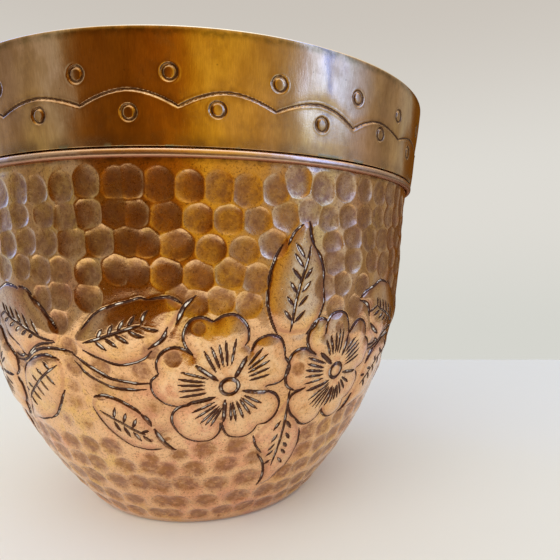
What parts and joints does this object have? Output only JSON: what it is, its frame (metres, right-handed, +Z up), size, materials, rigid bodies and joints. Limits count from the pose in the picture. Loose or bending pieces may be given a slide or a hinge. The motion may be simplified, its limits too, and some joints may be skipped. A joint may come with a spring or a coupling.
{
  "type": "planter pot",
  "caption": "Round tapering sheet-brass planter pot with a flared decorated rim band, a bead below it, a chased floral body and a narrow flat foot.",
  "frame": {"origin": "centre of the flat foot, on the plane the pot stands on", "axes": "+Z up along the pot's axis; the pot is turned, so X and Y are free, and azimuth 0 looks along +Y"},
  "size_m": [0.26, 0.26, 0.214],
  "materials": {
    "hammered_brass": "aged warm brass, hammered and chased, polished on the high spots and brown in the marks",
    "band_brass": "aged warm brass, smooth, softly polished, brown tarnish in the punched marks",
    "bead_brass": "pinkish aged brass, rubbed bright on the crown",
    "base_brass": "dull tarnished brass",
    "seam_brass": "dull brazing metal"
  },
  "bodies": {
    "root": {"body_wall": "hammered_brass", "rim_band": "band_brass", "lip_bead": "bead_brass", "base_disc": "base_brass", "base_braze_seam": "seam_brass", "band_braze_seam": "seam_brass"}
  },
  "joints": []
}
